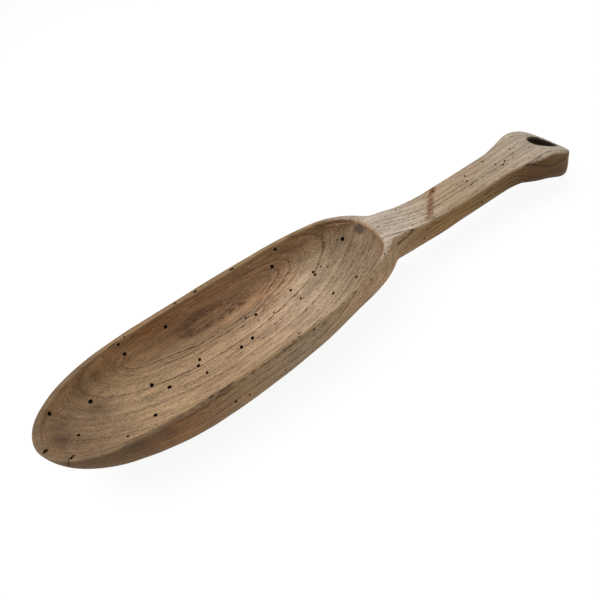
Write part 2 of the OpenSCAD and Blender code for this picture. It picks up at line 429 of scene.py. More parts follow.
tunnels = {  # woodworm's flight holes: image points with their width, and others by place (x, y, z) and width in mm
    "points": {
        "tunnelTip": 2.2, "tunnelLow": 1.7, "tunnelNearRim": 1.4, "tunnelFloor": 2.1, "tunnelFloorNear": 2.0,
        "tunnelFarWall": 2.2, "tunnelMiddle": 1.9, "tunnelPair": 1.5, "tunnelEndWall": 1.5, "tunnelNeck": 2.0,
        "tunnelGrip": 1.3,
    },
    "places": [
        (10, 14.5, 44, 2.0), (70, 11, 12.5, 2.1), (91.5, 15, 10.5, 1.9), (94, 18, 11.5, 1.7), (94, 7.5, 9, 1.4),
        (94, -39, 44, 1.3), (112.5, -38.5, 44, 1.3), (58, 35, 34.5, 2.0), (59, 36.5, 42.5, 1.6), (48, 34.5, 42, 0.9),
        (64.5, 37, 44.5, 0.9), (100.5, 39.8, 44, 1.3), (172, 36, 41.5, 1.9), (165, 34.5, 31.5, 2.2),
        (139.5, 22, 14.5, 1.7), (133, 24, 15, 0.9), (139, 18.5, 12.5, 0.8), (150, 16, 13, 0.9), (151.5, 9, 11.5, 0.7),
        (167, 20, 18, 1.5), (120.5, 10, 9, 1.9), (103.5, -41, 29.5, 1.6), (111.5, -40, 26.5, 1.2),
        (135, -39.5, 27, 1.1), (208, 20, 34, 0.8), (185, 16.5, 21.5, 1.5), (191, 17.5, 24, 0.9),
        (194, 13.5, 24.5, 1.1), (169, 11.5, 15.5, 1.3), (186, -3.5, 19.5, 1.5), (208, -8.5, 30, 0.9),
        (201.5, -32, 42.5, 1.2), (155, -9.5, 12, 1.2), (159, -40, 43.5, 1.0), (217, -23.5, 45, 0.9),
        (247.5, 9.5, 38.5, 1.0), (258.5, 12, 36, 1.0), (275.5, 9.5, 35, 1.2), (298, 5.5, 35, 1.2),
        (286, 12.5, 35, 0.9), (314.5, 8, 35, 1.0), (317.5, -0.5, 35, 1.0), (323, -2.5, 35, 1.1),
        (320, -4.5, 35, 1.0), (333.5, 4, 35, 1.0), (333.5, -12, 35, 0.8), (337.5, -16.5, 35, 0.8),
        (341.5, 6.5, 35, 0.7), (346.5, -8.5, 34, 0.7), (250, -13, 26.5, 1.1), (295, -13, 25.5, 1.2),
    ],
    "unseen": 46,  # so many more are tried on the sides that the photo can't show
    "unseenAlong": (12, 352), "unseenWidths": (0.9, 1.2, 1.5, 1.8, 2.0), "unseenDeep": 2.8,
    "innerShare": 0.3, "innerUpTo": 215, "innerHeight": (24, 38),  # those in the near wall, hidden by its own rim
    "deep": 3.4, "sides": 14, "apart": 0.25,
    "crumbled": 1.12,  # mouths have crumbled a little wider than the beetle bored them
    "mouth": ((-1.2, 1.16), (-0.12, 1.1), (0.12, 1.0)),  # mm below the skin (minus is above), share of the width
    "shaft": ((0.55, 0.96), (0.9, 0.8), (1.0, 0.4)),  # share of the depth, share of the width
    "lean": 0.16, "ragged": 0.07, "stretch": 0.14,  # how far a hole may be from straight, even and round
}
gashes = [  # nicks and cracks: places in mm that the middle line follows, then width and depth in mm
    ([(5.2, -13.6, 48), (7.2, -12.4, 48), (9.2, -11.4, 48)], 2.3, 1.7),
    ([(18.4, -26.8, 47), (20.2, -25.6, 47), (21.8, -24.8, 47)], 2.0, 1.4),
    ([(20.4, -25.8, 47), (18.2, -26.2, 46.6), (16.3, -26.0, 45), (14.6, -25.3, 42.5), (13.6, -24.6, 40)], 0.5, 1.4),
    ([(19.0, -17.6, 37.6), (20.4, -16.6, 35), (22.0, -16.2, 33.4), (24.2, -15.9, 31.8), (26.6, -15.6, 30.2)],
     0.36, 0.9),
    ([(113.4, 38.9, 44), (115.0, 38.8, 44), (116.6, 38.7, 44)], 1.3, 1.5),
    ([(140.0, 38.4, 44), (141.8, 38.3, 44), (143.6, 38.2, 44)], 1.2, 1.5),
    ([(93.4, -40.4, 44), (95.2, -40.7, 44), (96.8, -40.4, 44)], 1.0, 0.9),
    ([(99.0, -40.6, 44), (102.5, -40.9, 44), (106.5, -40.6, 44), (109.0, -40.9, 44)], 0.55, 0.7),
    ([(149.0, -39.6, 44), (151.0, -39.3, 44)], 0.9, 0.8),
    ([(52.0, 35.6, 44.6), (56.0, 36.3, 44.5), (60.5, 37.0, 44.4)], 0.45, 0.7),
]
gashShape = {  # a blunt V: shares of half the width, and of the depth
    "lip": 1.25, "lipAbove": 0.6, "bend": 0.8, "bendDeep": 0.6, "steps": 4,
    "wideVaries": (0.8, 1.15), "deepVaries": (0.85, 1.1), "blunt": 0.6,
}


def skinTree():
    mesh = scoop.data
    return BVHTree.FromPolygons([v.co for v in mesh.vertices], [p.vertices for p in mesh.polygons])


tree = skinTree()
dice = random.Random(11)
cutPoints, cutFaces, made = [], [], []


def onSkin(place):  # the place on the skin nearest to one in mm, and the normal there
    near, normal, _, _ = tree.find_nearest(Vector(inMetres([place])[0]))
    return near, normal


def addLoops(loops):  # a closed tube from loops of points
    start, n = len(cutPoints), len(loops[0])
    for loop in loops:
        cutPoints.extend(loop)
    for i in range(len(loops) - 1):
        for k in range(n):
            a, b = start + i * n + k, start + i * n + (k + 1) % n
            cutFaces.append((a, b, b + n, a + n))
    cutFaces.append(tuple(range(start + n - 1, start - 1, -1)))
    cutFaces.append(tuple(start + (len(loops) - 1) * n + k for k in range(n)))


def bore(place, normal, width, deep):  # one flight hole, a little ragged, with a round bottom
    if any((place - other).length / mm < (width + wide) / 2 + tunnels["apart"] for other, wide in made):
        return  # it would run into another one
    made.append((place, width))
    width *= tunnels["crumbled"]
    lean = Vector((dice.uniform(-1, 1), dice.uniform(-1, 1), dice.uniform(-1, 1))) * tunnels["lean"]
    down = (lean - normal).normalized()
    side = down.orthogonal().normalized()
    other = down.cross(side)
    ragged = [1 + dice.uniform(-tunnels["ragged"], tunnels["ragged"]) for _ in range(tunnels["sides"])]
    stretch = dice.uniform(0.0, tunnels["stretch"])
    loops = []
    for along, wide in (*tunnels["mouth"], *((deep * share, wide) for share, wide in tunnels["shaft"])):
        loop = []
        for k, rough in enumerate(ragged):
            a = 2 * math.pi * k / len(ragged)
            reach = width / 2 * wide * rough
            loop.append(place + (down * along + side * math.cos(a) * reach * (1 + stretch)
                                 + other * math.sin(a) * reach) * mm)
        loops.append(loop)
    addLoops(loops)


def gash(line, width, deep):  # a nick or crack along a line on the surface, tapered to nothing at both ends
    found = [onSkin(p)[0] for p in line]
    stations, steps = [], gashShape["steps"]
    for i in range(len(found) - 1):
        for t in np.linspace(0, 1, steps + 1)[:steps + (i == len(found) - 2)]:
            place, normal, _, _ = tree.find_nearest(found[i].lerp(found[i + 1], float(t)))
            stations.append((place, normal))
    loops = []
    for i, (place, normal) in enumerate(stations):
        ahead = stations[min(i + 1, len(stations) - 1)][0] - stations[max(i - 1, 0)][0]
        side = ahead.cross(normal).normalized()
        full = math.sin(math.pi * (i + 0.5) / len(stations)) ** gashShape["blunt"]
        wide = width / 2 * full * dice.uniform(*gashShape["wideVaries"])
        low = deep * full * dice.uniform(*gashShape["deepVaries"])
        lip, bend = side * wide * gashShape["lip"], side * wide * gashShape["bend"]
        up, down = normal * gashShape["lipAbove"], normal * low * gashShape["bendDeep"]
        loops.append([place + (lip + up) * mm, place + (bend - down) * mm, place - normal * low * mm,
                      place - (bend + down) * mm, place - (lip - up) * mm])
    addLoops(loops)


# narrow holes are drawn less deep than wide ones
for name, width in tunnels["points"].items():
    bore(*seen(name, tree), width, tunnels["deep"] * min(1.0, 0.6 + width / 5))
for *place, width in tunnels["places"]:
    bore(*onSkin(place), width, tunnels["deep"] * min(1.0, 0.5 + width / 4))
hidden = 0
while hidden < tunnels["unseen"]:
    x, a = dice.uniform(*tunnels["unseenAlong"]), dice.uniform(-0.15, math.pi + 0.15)  # a goes round the underside
    guess = (x, math.cos(a) * float(planHalf(x)) * 1.2, float(topZ(x)) - 5 - 40 * max(0, math.sin(a)))
    if x < tunnels["innerUpTo"] and dice.random() < tunnels["innerShare"]:
        guess = (x, -0.8 * float(hollowHalf(x)), dice.uniform(*tunnels["innerHeight"]))
    place, normal = onSkin(guess)
    if (eye.location - place).dot(normal) > 0 and place.y < 0 and normal.y < 0 and place.z > 12 * mm:
        continue  # that part of the side shows in the photo
    bore(place, normal, dice.choice(tunnels["unseenWidths"]), tunnels["unseenDeep"])
    hidden += 1
for line, width, deep in gashes:
    gash(line, width, deep)
print("cutters made:", len(made), "flight holes", len(gashes), "nicks and cracks")

cutter = meshOf("cutter", cutPoints, cutFaces)
cutPoints, cutFaces = [], []
# the hanging hole's bar has levels 2 mm apart, for the painted shade on the wall to fade in from its upper edge
addLoops([[Vector(((holeX - length / 2 + radius * math.cos(a)) * mm, (holeY + radius * math.sin(a)) * mm, z * mm))
           for a in np.linspace(0, 2 * math.pi, 129)[:-1]] for z in (-6, *range(0, 38, 2), 50)])
drill = meshOf("drill", cutPoints, cutFaces)
for piece in (cutter, drill):
    bm = bmesh.new()
    bm.from_mesh(piece.data)
    bmesh.ops.recalc_face_normals(bm, faces=bm.faces)
    bm.to_mesh(piece.data)
    bm.free()

openWood = bpy.data.materials.new("weathered_gouged_hardwood")
# painted shade: a nearly black brown for the walls of the worm holes, nicks and cracks, which take the cutter's
# material
tunnelShadeWood = bpy.data.materials.new("painted_shade_in_worm_tunnels")
scoop.data.materials.append(openWood)
drill.data.materials.append(openWood)
cutter.data.materials.append(tunnelShadeWood)
leastVolume, leastFaces = 150, 0.9  # cm3, and share of the faces: a cut that leaves less has gone wrong


def cut(tool):  # takes the tool out of the scoop with the first solver that leaves a closed skin
    for solver in ("MANIFOLD", "EXACT"):
        bite = scoop.modifiers.new("bite", "BOOLEAN")
        bite.operation, bite.solver, bite.object = "DIFFERENCE", solver, tool
        bite.material_mode = "TRANSFER"
        view = bpy.context.evaluated_depsgraph_get()
        result = bpy.data.meshes.new_from_object(scoop.evaluated_get(view), depsgraph=view)
        scoop.modifiers.remove(bite)
        bm = bmesh.new()
        bm.from_mesh(result)
        whole = bm.calc_volume() * 1e6
        loose = sum(not e.is_manifold for e in bm.edges)
        bm.free()
        print("cut", tool.name, "with", solver + ":", len(result.polygons), "faces,", loose, "open edges,",
              round(whole, 2), "cm3")
        if loose == 0 and whole > leastVolume and len(result.polygons) > len(scoop.data.polygons) * leastFaces:
            scoop.data = result
            return


for tool in (drill, cutter):
    cut(tool)
    bpy.data.objects.remove(tool)
scoop.data.name = "scoop"
print("slots", [m.name if m else None for m in scoop.data.materials])


def linear(hexColour):  # a written sRGB colour as the linear one that the shaders take
    parts = [int(hexColour[i:i + 2], 16) / 255 for i in (1, 3, 5)]
    return tuple(p / 12.92 if p <= 0.04045 else ((p + 0.055) / 1.055) ** 2.4 for p in parts) + (1.0,)


woodTones = {  # the bare wood's colour along each face: x in mm from the bowl's tip, then the colour there
    # the tones grow darker and browner towards the tip, and sun and air have greyed the neck and the handle's top
    "floor": [(5, "#816951"), (25, "#8f765b"), (50, "#ab906f"), (75, "#b49877"), (115, "#b69979"), (150, "#bea387"),
              (175, "#c0a98d"), (195, "#a89378"), (212, "#927b63"), (226, "#9d856a")],
    "walls": [(5, "#7e664c"), (25, "#a48561"), (50, "#a58662"), (90, "#8d6e51"), (130, "#9b7c5f"), (170, "#9c7e5f"),
              (195, "#94785a"), (212, "#84694f"), (226, "#90785d")],
    "outside": [(5, "#6d5232"), (50, "#705334"), (75, "#936a44"), (110, "#a98965"), (150, "#a89074"), (185, "#b69773"),
                (212, "#c4a37c"), (232, "#b59774"), (255, "#aa8357"), (290, "#9b7a4e"), (312, "#8c6b46"),
                (330, "#705030"), (350, "#735635"), (366, "#90734e")],
    "top": [(5, "#755e45"), (40, "#7a6046"), (90, "#8e6f4d"), (150, "#8c7350"), (200, "#967b59"), (224, "#c6b4a2"),
            (240, "#d5c7b5"), (275, "#c3aa89"), (310, "#c1ab91"), (335, "#c5b39e"), (364, "#cabfab")],
    "under": [(5, "#7d6248"), (60, "#81684c"), (200, "#866d51"), (250, "#7e674d"), (330, "#644f3a"), (364, "#776550")],
}
marks = {  # what use and time left, and painted shade and painted light: places (x, y, z) and sizes in mm, smudges and reddening with their strength
    "stain": [(277.5, 11.6, 35), (270.5, 5.2, 35), (267, 0.6, 35), (262, -5.2, 35), (257.6, -10.4, 35)],
    "stainWide": 2.1, "stainEdge": 0.7, "stainBetween": (240, 300),  # a reddish line across the handle's top
    "knot": (220.8, 10.2, 39.6), "knotSize": (5.0, 6.0, 4.2),  # the dark patch at the hollow's neck end
    "holeShadeColour": "#24170d",  # painted shade on the hanging hole's wall, below its upper edge
    "rust": (226.4, -5.9, 43.6), "rustSize": 1.5,
    "smudges": [((11.4, -3.4, 38.7), 9.5, 0.72), ((12.5, 5.0, 40.5), 9.0, 0.5), ((52.2, -38.4, 44.0), 11.0, 0.7),
                ((66, -39.5, 42), 12.0, 0.5), ((27, 26, 37), 10.0, 0.7), ((38, 30, 36), 9.0, 0.65),
                ((31, 13, 29), 9.0, 0.5), ((47, 33, 34), 8.0, 0.5), ((101, -41.5, 43), 5.0, 0.4),
                ((16, -25, 44), 6.0, 0.6), ((28, -31, 43), 7.0, 0.5), ((200.5, 22, 33), 11.0, 0.25),
                ((20, -8, 34), 8.0, 0.35), ((140, -39, 36), 10.0, 0.2), ((210, 14, 33), 8.0, 0.2)],
    "reddened": [((148, 26.6, 18.4), 30.0, 1.3), ((165, 28, 22), 22.0, 1.0), ((124, 30, 22), 24.0, 0.5),
                 ((215, -15.4, 38), 14.0, 0.7), ((96, -41, 44), 12.0, 0.8), ((222, 12, 42), 9.0, 0.6),
                 ((60, 37, 44), 12.0, 0.2)],
    "paintedTipLight": 0.38,  # painted light: how much lighter the wall under the tip's edge is made, against the shade on its steep upper part
    "flareShade": 0.3,  # painted shade: how much darker the flare's sides are made low down
}
fades = {  # where things run into each other: from this value, over this run, both in mm or as the normal's z
    "level": (0.45, 0.45), "under": (0.2, 0.6), "lidSlope": (0.1, 0.6), "lidDepth": (0.2, 1.6),
    "wallLid": 1.6, "tipLid": 2.0, "tipLidAlong": (0, 34),  # the top's tone reaches further down inside the tip
    "rubbedFrom": (0.3, 1.2), "rubbedTo": (3, 5), "rubbedAlong": (8, 22),
    "flareDown": (4, 10), "flareAlong": (292, 26),
    "holeWall": 0.4, "holeDown": (-0.2, 2.4),
    "rimDepth": 3, "wornWide": 2.2, "handledRun": 14,
}
grainLess = {  # how much less the dark grain shows: on the walls, which lie along the year rings, at the rubbed tip,
    # outside the bowl and low on the flare, and the least that is left
    "walls": 0.45, "tip": 0.5, "tipAlong": (45, 50), "outside": 0.3, "flare": 0.4, "flareAlong": (320, 20),
    "flareDown": (2, 3), "least": 0.25,
}


def colourAlong(table, x):
    at = [row[0] for row in table]
    return np.stack([np.interp(x, at, [linear(row[1])[i] for row in table]) for i in range(3)], 1)


def spot(places, centre, size):  # 1 in a mark's middle, falling to 0 at its size
    gap = np.sqrt((((places - np.array(centre)) / np.array(size)) ** 2).sum(1))
    return 1 - smooth(gap)


def mixed(first, second, share):  # two sets of colours, with the share that the second has at each point
    return first * (1 - share[:, None]) + second * share[:, None]


farOff = 50.0  # mm, stands for the distance where none is measured


def paintMarks():  # stores on the skin's points what the wood material needs to know of each place
    f, g = SimpleNamespace(**fades), SimpleNamespace(**grainLess)
    mesh = scoop.data
    place = pointsOf(mesh)
    x, y, z = place.T
    normals = np.empty(len(mesh.vertices) * 3)
    mesh.vertices.foreach_get("normal", normals)
    up = normals[2::3]
    fromTop = topZ(x) - z
    inX = np.clip(x, c.rimTip + 0.01, hollowEnd - 0.01)
    across = np.abs(y - aside(inX)) / np.maximum(hollowHalf(inX), 0.3)
    bed = topZ(inX) - hollowDepth(inX) * fall(np.minimum(across, 1), curve.hollowSection, curve.hollowSection)
    inside = (across < 1.03) & (x > c.rimTip - 1) & (x < hollowEnd + 1) & (z > bed - 3)
    # each face has its own tone, and they run into each other with the slope and the depth below the top
    tones = {face: colourAlong(table, x) for face, table in woodTones.items()}
    level = ramp(up, *f.level)
    hollow = mixed(tones["walls"], tones["floor"], level)
    lidDown = f.wallLid + f.tipLid * (1 - ramp(x, *f.tipLidAlong))
    hollow = mixed(hollow, tones["top"], 1 - ramp(fromTop, 0, lidDown))
    skin = mixed(tones["outside"], tones["under"], ramp(-up, *f.under))
    skin = mixed(skin, tones["top"], (1 - ramp(fromTop, *f.lidDepth)) * ramp(up, *f.lidSlope))
    tone = np.where(inside[:, None], hollow, skin)
    # painted light: the upper part of the wall under the tip's edge is made lighter, against the shade that falls on
    # it
    tipLightBand = ramp(fromTop, *f.rubbedFrom) * (1 - ramp(fromTop, *f.rubbedTo)) * (1 - ramp(x, *f.rubbedAlong))
    # painted shade: the flare's sides are made darker low down
    paintedFlareShade = ramp(fromTop, *f.flareDown) * ramp(x, *f.flareAlong)
    tone = tone * (1 + marks["paintedTipLight"] * inside * tipLightBand - marks["flareShade"] * paintedFlareShade)[:, None]
    # painted shade: the hanging hole's wall darkens from just below its upper edge
    holeWall = (1 - ramp(np.hypot(x - holeX, y - holeY), radius, f.holeWall)) * ramp(fromTop, *f.holeDown)
    tone = mixed(tone, np.array(linear(marks["holeShadeColour"])[:3]), holeWall)
    near = fromTop < f.rimDepth
    rim = np.full(len(x), farOff)
    rim[near] = np.minimum(outlineDistance(place[near, :2], outline[::3]),
                           outlineDistance(place[near, :2], hollowLine[::4]))
    handleTop = near & (x > marks["stainBetween"][0]) & (x < marks["stainBetween"][1])
    stain = np.full(len(x), farOff)
    stain[handleTop] = outlineDistance(place[handleTop, :2], np.array(marks["stain"], float)[:, :2])
    gap = (place - np.array(marks["knot"])) / np.array(marks["knotSize"])
    handled = ramp(x, hollowEnd, f.handledRun)
    store = {
        "worn": (1 - ramp(rim + np.maximum(0, fromTop - 0.4) * 1.2, 0, f.wornWide)) * near,
        "stain": stain,
        "knot": np.where(inside, np.sqrt((gap ** 2).sum(1)), 9.0),
        "rust": spot(place, marks["rust"], marks["rustSize"]),
        "handled": handled,
        "grainShows": np.clip(1 - g.walls * inside * (1 - level) - g.tip * (1 - ramp(x, *g.tipAlong))
                              - g.outside * (1 - inside) * (1 - handled)
                              - g.flare * ramp(x, *g.flareAlong) * ramp(fromTop, *g.flareDown), g.least, 1),
        "smudge": np.max([spot(place, at, size) * much for at, size, much in marks["smudges"]], 0),
        "reddened": np.max([spot(place, at, (size, size * 0.4, size * 0.4)) * much
                            for at, size, much in marks["reddened"]], 0),
    }
    for name, values in store.items():
        layer = mesh.attributes.new(name, "FLOAT", "POINT")
        layer.data.foreach_set("value", np.asarray(values, np.float32))
    layer = mesh.attributes.new("tone", "FLOAT_COLOR", "POINT")
    layer.data.foreach_set("color", np.c_[tone, np.ones(len(x))].astype(np.float32).ravel())


paintMarks()
print("marks laid on the skin")


def addNode(tree, kind, settings, links):  # one node with its settings and what goes into it; gives its outputs
    node = tree.nodes.new(kind)
    for name, value in settings.items():
        setattr(node, name, value)
    for name, value in links.items():
        if isinstance(value, bpy.types.NodeSocket):
            tree.links.new(value, node.inputs[name])
        else:
            node.inputs[name].default_value = value
    return node.outputs


hardwood = {  # ring-porous hardwood like ash or elm; lengths in mm
    "ringWidth": 2.6,  # one year's growth
    "ringVary": (3.4, 6.25),  # by how many years the rings crowd and spread, and over what length
    "pith": (108.0, -22.0),  # where the tree's middle ran beside the scoop: y and z
    "ringWander": (2.4, 55.0), "ringShake": (0.45, 9.0),  # how far rings stray and over what length
    "alongGrain": 0.22,  # how fast patches change along the grain, against across it
    # real pores are about 0.3 mm wide and real fibres 0.02 mm, too fine to show, so both are drawn coarser
    "drawnOut": {  # patterns along the grain: length and width, then the noise's scale, detail and roughness
        "dash": (2.3, 0.42, 0.62, 1.0, 0.5),  # the spring wood's open pores, cut lengthwise
        "gaps": (16.0, 2.2, 1.0, 2.0, 0.5),  # breaks in the rings' dark lines
        "fibre": (9.0, 0.6, 0.8, 3.0, 0.6),  # bundles of fibres
        "streak": (70.0, 4.5, 1.0, 3.0, 0.5),  # broad pale and dark streaks
    },
    "mottle": 5.41667, "speck": 2 / 3,  # how far apart patches and fine specks lie
    "lightness": {"fibre": 1.75, "streak": 1.15, "mottle": 1.0, "speck": 2.4, "age": 0.22},
    "lightBase": -2.98,  # brings the sum of those back to the written tones
    "handledCalm": 0.42,  # by how much the neck and handle are evener than the bowl
    "heartwood": (1.05, 0.72, 0.5, 1),  # what redder streaks multiply the wood's linear colour by
    "stained": (0.5, 0.34, 0.28, 1),  # and what the stain multiplies it by
    "springEnds": (0.34, 0.02),  # shares of a year between which the spring wood's pores thin out
    "poreLimit": (-0.25, 0.72), "boldLimit": -0.05, "poreEdge": (-0.015, 0.07),  # the noise above which a pore opens
    "lineStarts": 0.07, "lineWide": (0.25, 0.04), "lineGaps": (0.24, 0.5), "lineDots": (0.38, 0.52, 0.4),
    "betweenLines": (2.3, 0.3, 0.5),  # how many to a year, how wide, and how dark against the others
    "lineBold": (0.95, 0.7),  # some years' lines are bolder
    "redStreaks": (0.36, 0.6), "redShare": (0.36, 0.03),  # more where the marks redden it, and a trace everywhere
    "wornPatchy": 0.8, "smudgePatchy": 1.7, "stainWick": (-12.0, 6.2),  # the stain has crept along fibres
    "knotPatchy": 1.3, "knotEdge": (1.75, 1.15), "knotDark": 0.7,
    "wornColour": "#c2a380", "smudgeColour": "#513f2f", "knotColour": "#463d37", "rustColour": "#8a4a2c",
    "poreStain": "#70563f",  # dirt in pores and dark lines, multiplied over everything
    "relief": {"pore": -1.0, "thin": -0.7, "fibre": 0.9, "speck": 0.5},  # what lies low and what stands up
    "reliefHeight": 0.09, "reliefStrength": 0.7,
    "roughness": 0.78, "roughVary": 0.18,  # dry bare wood without oil or wax, a little uneven
    "ior": 1.5, "specular": 0.3,
}


def makeOpenWood():
    # dry bare hardwood, cut with gouge and knife and weathered: matt all over, with dark open pores in rows along
    # each year's ring, finer fibre streaks between them, and marks of feed, hands, damp and rust
    h = SimpleNamespace(**hardwood)
    openWood.use_nodes = True
    t = openWood.node_tree
    t.nodes.clear()
    number, vector, noiseNode, toRange = ("ShaderNodeMath", "ShaderNodeVectorMath", "ShaderNodeTexNoise",
                                          "ShaderNodeMapRange")
    plus, minus, times, timesPlus, most = (
        {"operation": name} for name in ("ADD", "SUBTRACT", "MULTIPLY", "MULTIPLY_ADD", "MAXIMUM"))
    softly = {"interpolation_type": "SMOOTHSTEP"}
    marked = {name: addNode(t, "ShaderNodeAttribute", {"attribute_name": name}, {})["Fac"]
              for name in ("handled", "reddened", "worn", "smudge", "stain", "knot", "rust", "grainShows")}
    where = addNode(t, "ShaderNodeTexCoord", {}, {})["Object"]
    place = addNode(t, vector, {"operation": "SCALE"}, {0: where, "Scale": 1 / mm})["Vector"]
    along = addNode(t, vector, times, {0: place, 1: (h.alongGrain, 1, 1)})["Vector"]
    # rings round the pith, bent by the way the tree grew
    bent = place
    for start, (far, over), detail in ((place, h.ringWander, 1.5), (along, h.ringShake, 3.0)):
        bend = addNode(t, noiseNode, {}, {"Vector": start, "Scale": 1 / over, "Detail": detail})["Color"]
        bend = addNode(t, vector, minus, {0: bend, 1: (0.5, 0.5, 0.5)})["Vector"]
        bent = addNode(t, vector, timesPlus, {0: bend, 1: (0, far * 2, far * 2), 2: bent})["Vector"]
    part = addNode(t, "ShaderNodeSeparateXYZ", {}, {0: bent})
    out = addNode(t, number, minus, {0: part["Y"], 1: h.pith[0]})[0]
    up = addNode(t, number, minus, {0: part["Z"], 1: h.pith[1]})[0]
    flat = addNode(t, "ShaderNodeCombineXYZ", {}, {"X": out, "Y": up})[0]
    reach = addNode(t, vector, {"operation": "LENGTH"}, {0: flat})["Value"]
    year = addNode(t, number, {"operation": "DIVIDE"}, {0: reach, 1: h.ringWidth})[0]
    thick = addNode(t, noiseNode, {"noise_dimensions": "1D"}, {"W": reach, "Scale": 1 / h.ringVary[1],
                                                               "Detail": 2.0})[0]
    year = addNode(t, number, timesPlus, {0: thick, 1: h.ringVary[0], 2: year})[0]
    age = addNode(t, number, {"operation": "FRACT"}, {0: year})[0]  # 0 in spring, 1 at the year's end
    which = addNode(t, number, {"operation": "FLOOR"}, {0: year})[0]
    strength = addNode(t, "ShaderNodeTexWhiteNoise", {"noise_dimensions": "1D"}, {"W": which})["Value"]
    begin = addNode(t, toRange, {}, {"Value": age, "From Max": h.lineStarts})[0]
    # fibres, streaks, pores, patches and specks
    pattern = {"age": age}
    for name, (long, wide, scale, detail, rough) in h.drawnOut.items():
        drawn = addNode(t, vector, times, {0: bent, 1: (1 / long, 1 / wide, 1 / wide)})["Vector"]
        pattern[name] = addNode(t, noiseNode, {}, {"Vector": drawn, "Scale": scale, "Detail": detail,
                                                   "Roughness": rough})[0]
    mottle = addNode(t, noiseNode, {}, {"Vector": along, "Scale": 1 / h.mottle, "Detail": 4.0, "Roughness": 0.6})[0]
    speck = addNode(t, noiseNode, {}, {"Vector": place, "Scale": 1 / h.speck, "Detail": 2.0, "Roughness": 0.75})[0]
    # pores are dashes along the grain, most of them in the spring wood
    spring = addNode(t, toRange, softly, {"Value": age, "From Min": h.springEnds[0], "From Max": h.springEnds[1]})[0]
    spring = addNode(t, number, times, {0: spring, 1: begin})[0]
    limit = addNode(t, number, timesPlus, {0: spring, 1: h.poreLimit[0], 2: h.poreLimit[1]})[0]
    limit = addNode(t, number, timesPlus, {0: strength, 1: h.boldLimit, 2: limit})[0]
    over = addNode(t, number, minus, {0: pattern["dash"], 1: limit})[0]
    pore = addNode(t, toRange, softly, {"Value": over, "From Min": h.poreEdge[0], "From Max": h.poreEdge[1]})[0]
    # the year's thin dark line, broken here and there, and fainter ones between two of them
    broken = addNode(t, toRange, softly, {"Value": pattern["gaps"], "From Min": h.lineGaps[0],
                                          "From Max": h.lineGaps[1]})[0]
    dots = addNode(t, toRange, {}, {"Value": pattern["dash"], "From Min": h.lineDots[0], "From Max": h.lineDots[1],
                                    "To Min": h.lineDots[2]})[0]
    thin = addNode(t, toRange, softly, {"Value": age, "From Min": h.lineWide[0], "From Max": h.lineWide[1]})[0]
    for share in (begin, broken, dots):
        thin = addNode(t, number, times, {0: thin, 1: share})[0]
    between = addNode(t, number, times, {0: year, 1: h.betweenLines[0]})[0]
    between = addNode(t, number, {"operation": "FRACT"}, {0: between})[0]
    between = addNode(t, toRange, softly, {"Value": between, "From Min": h.betweenLines[1], "From Max": 0.0,
                                           "To Max": h.betweenLines[2]})[0]
    between = addNode(t, number, times, {0: between, 1: broken})[0]
    thin = addNode(t, number, most, {0: thin, 1: between})[0]
    pattern.update(mottle=mottle, speck=speck, pore=pore, thin=thin)
    # how light each place is against its written tone
    light = h.lightBase
    for name, much in h.lightness.items():
        light = addNode(t, number, timesPlus, {0: pattern[name], 1: much, 2: light})[0]
    calm = addNode(t, number, timesPlus, {0: marked["handled"], 1: -h.handledCalm, 2: 1.0})[0]
    light = addNode(t, number, timesPlus, {0: light, 1: calm, 2: 1.0})[0]
    # the tone carries painted shade in the hanging hole and low on the flare's sides, and painted light on the wall
    # under the tip's edge
    tone = addNode(t, "ShaderNodeAttribute", {"attribute_name": "tone"}, {})["Color"]
    colour = addNode(t, vector, {"operation": "SCALE"}, {0: tone, "Scale": light})["Vector"]
    # redder heartwood, in streaks
    red = addNode(t, toRange, softly, {"Value": pattern["streak"], "From Min": h.redStreaks[0],
                                       "From Max": h.redStreaks[1]})[0]
    redAt = addNode(t, number, timesPlus, {0: marked["reddened"], 1: h.redShare[0], 2: h.redShare[1]})[0]
    red = addNode(t, number, times, {0: red, 1: redAt})[0]
    # edges rubbed light and dark smudges are both patchy, and so is the dark patch at the hollow's end
    patchy = {}
    for name, much in (("worn", h.wornPatchy), ("smudge", h.smudgePatchy)):
        patchy[name] = addNode(t, number, times, {0: marked[name], 1: mottle})[0]
        patchy[name] = addNode(t, number, times, {0: patchy[name], 1: much})[0]
    knot = addNode(t, number, timesPlus, {0: mottle, 1: h.knotPatchy, 2: marked["knot"]})[0]
    knot = addNode(t, toRange, softly, {"Value": knot, "From Min": h.knotEdge[0], "From Max": h.knotEdge[1],
                                        "To Max": h.knotDark})[0]
    wick = addNode(t, number, timesPlus, {0: pattern["fibre"], 1: h.stainWick[0], 2: h.stainWick[1]})[0]
    stain = addNode(t, number, plus, {0: marked["stain"], 1: wick})[0]
    stain = addNode(t, toRange, softly, {"Value": stain, "From Min": marks["stainWide"] + marks["stainEdge"],
                                         "From Max": marks["stainWide"] - marks["stainEdge"]})[0]
    bold = addNode(t, number, timesPlus, {0: strength, 1: h.lineBold[0], 2: h.lineBold[1]})[0]
    bold = addNode(t, number, times, {0: bold, 1: marked["grainShows"]})[0]
    lines = addNode(t, number, {**times, "use_clamp": True}, {0: thin, 1: bold})[0]
    pores = addNode(t, number, times, {0: pore, 1: marked["grainShows"]})[0]
    dark = addNode(t, number, most, {0: lines, 1: pores})[0]
